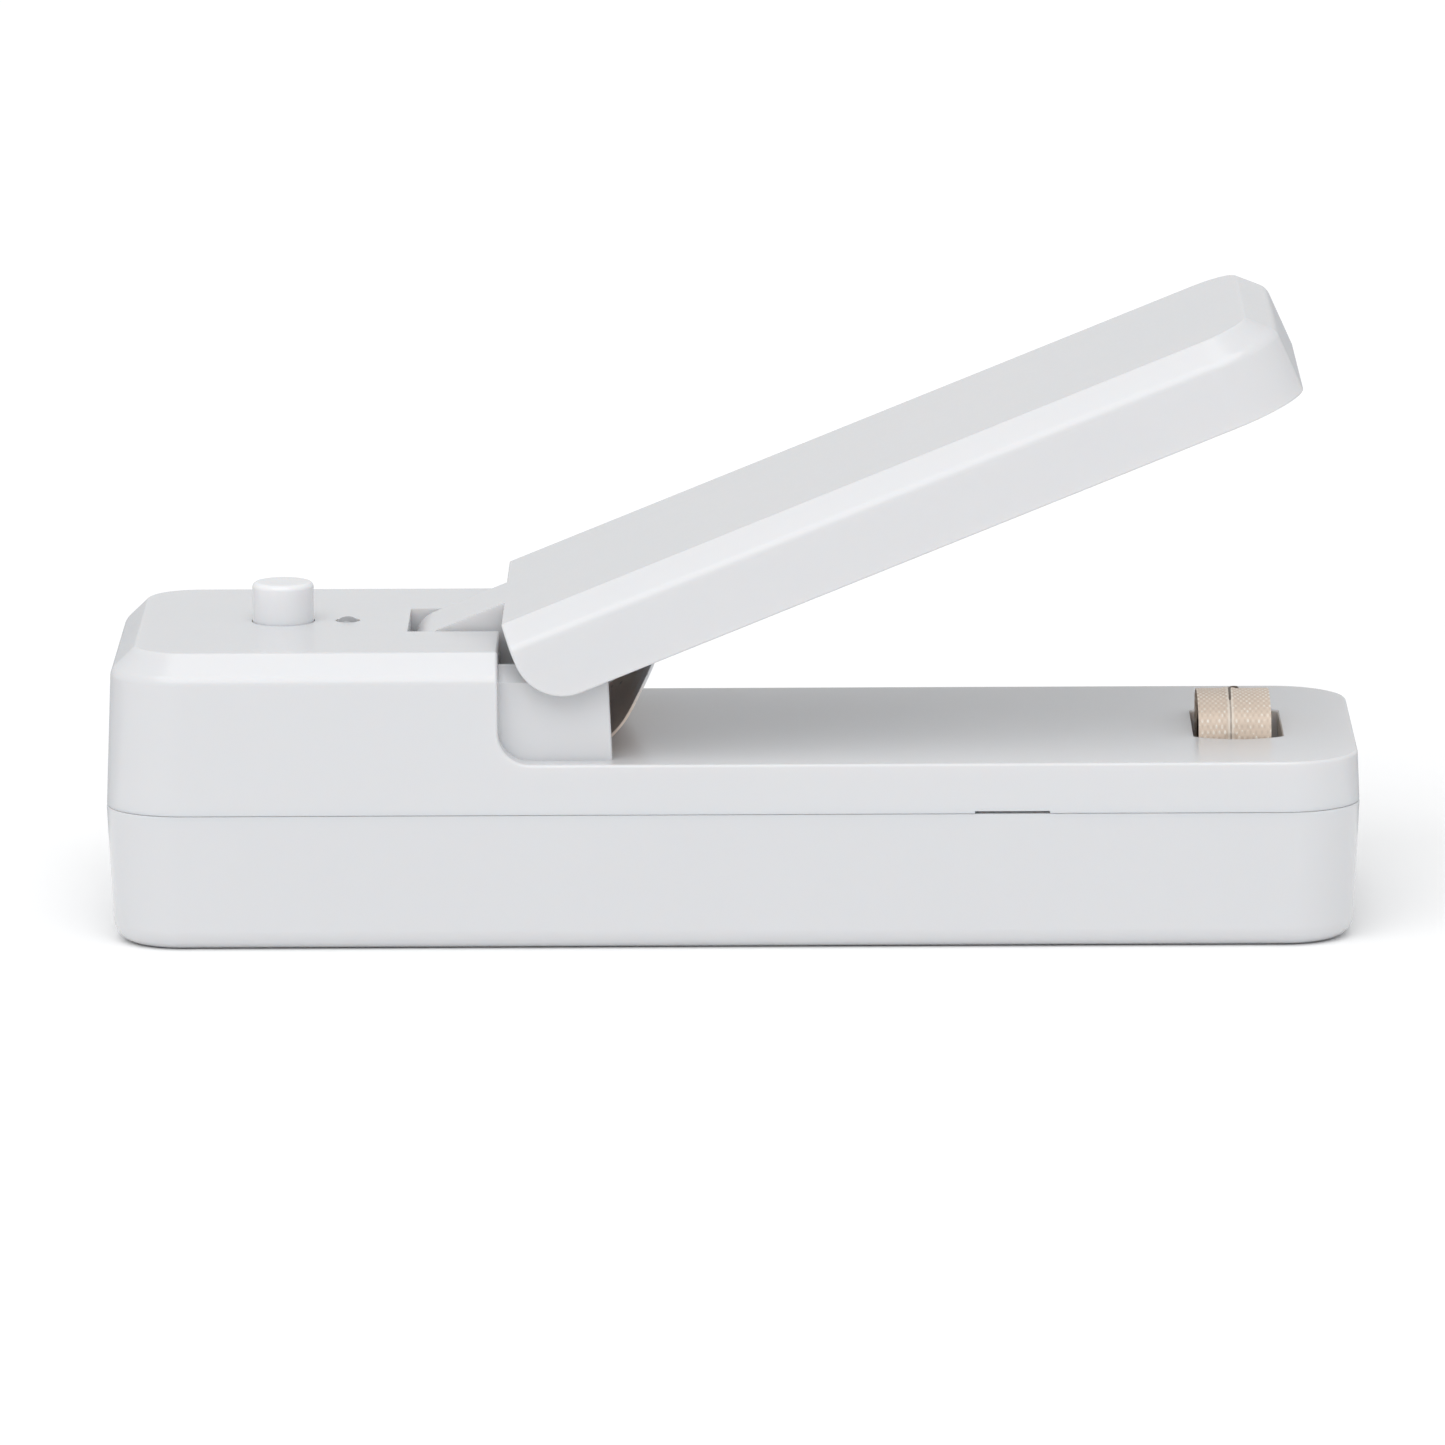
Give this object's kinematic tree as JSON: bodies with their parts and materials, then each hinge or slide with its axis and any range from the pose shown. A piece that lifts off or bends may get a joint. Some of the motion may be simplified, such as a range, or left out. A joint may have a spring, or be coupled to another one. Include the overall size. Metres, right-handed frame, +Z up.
{
  "type": "hand-held bag sealer",
  "caption": "Long white plastic case with a sprung press lever hinged over a low deck, a taped wire heater dome near the open end, and a round push button with an indicator light on the block.",
  "frame": {"origin": "centre of the underside, where the case stands", "axes": "+X from the button end to the sealing end, +Y across towards the back, +Z up"},
  "size_m": [0.158, 0.054, 0.0788],
  "materials": {
    "white_plastic": "fine satin gloss moulded white plastic",
    "inner_plastic": "plain moulded inner plastic",
    "black_plastic": "matt black switch housing",
    "steel": "bright zinc-plated steel",
    "spring_steel": "rolled spring steel strip",
    "brass": "plain brass",
    "ceramic": "unglazed white ceramic",
    "ribbon": "oxidised resistance ribbon",
    "glass_tape": "beige coated glass cloth tape",
    "silicone": "soft pale silicone",
    "board": "green solder mask over laminate",
    "light": "smoky clear light body",
    "cell": "metal can in a plain dark sleeve",
    "red_wire": "red wire insulation",
    "black_wire": "black wire insulation"
  },
  "bodies": {
    "base": {"lower_case": "white_plastic", "upper_case": "white_plastic", "hinge_pin": "steel", "button_spring": "spring_steel", "push_switch": "black_plastic", "indicator_light": "light", "circuit_board": "board", "board_screw_1": "steel", "board_screw_2": "steel", "leaf_spring": "spring_steel", "leaf_screw_1": "steel", "leaf_screw_2": "steel", "heater_block": "ceramic", "heating_ribbon": "ribbon", "heater_tape": "glass_tape", "heater_terminal_front": "brass", "heater_terminal_back": "brass", "cell_tray": "inner_plastic", "tray_screw_1": "steel", "tray_screw_2": "steel", "tray_screw_3": "steel", "tray_screw_4": "steel", "cell_front": "cell", "cell_back": "cell", "link_contact": "steel", "positive_contact": "steel", "negative_contact": "steel", "cell_spring_front": "spring_steel", "cell_spring_back": "spring_steel", "cell_lead": "red_wire", "heater_lead_front": "red_wire", "heater_lead_back": "black_wire"},
    "button": {"push_button": "white_plastic"},
    "lever": {"lever_shell": "white_plastic", "pad_carrier": "inner_plastic", "press_pad": "silicone", "carrier_screw_1": "steel", "carrier_screw_2": "steel"}
  },
  "joints": [
    {"name": "lever_hinge", "type": "hinge", "parent": "base", "child": "lever", "pos_m": [-0.0368, 0, 0.0337], "axis": [0, 1, 0], "range_deg": [0, 22], "stiffness_Nm_per_rad": 1.5, "springref_deg": -11.46, "deforming": ["leaf_spring"]},
    {"name": "button_press", "type": "slide", "parent": "base", "child": "button", "axis": [0, 0, -1], "range_m": [0, 0.0018], "stiffness_N_per_m": 500, "springref_m": -0.001, "deforming": ["button_spring"]}
  ]
}
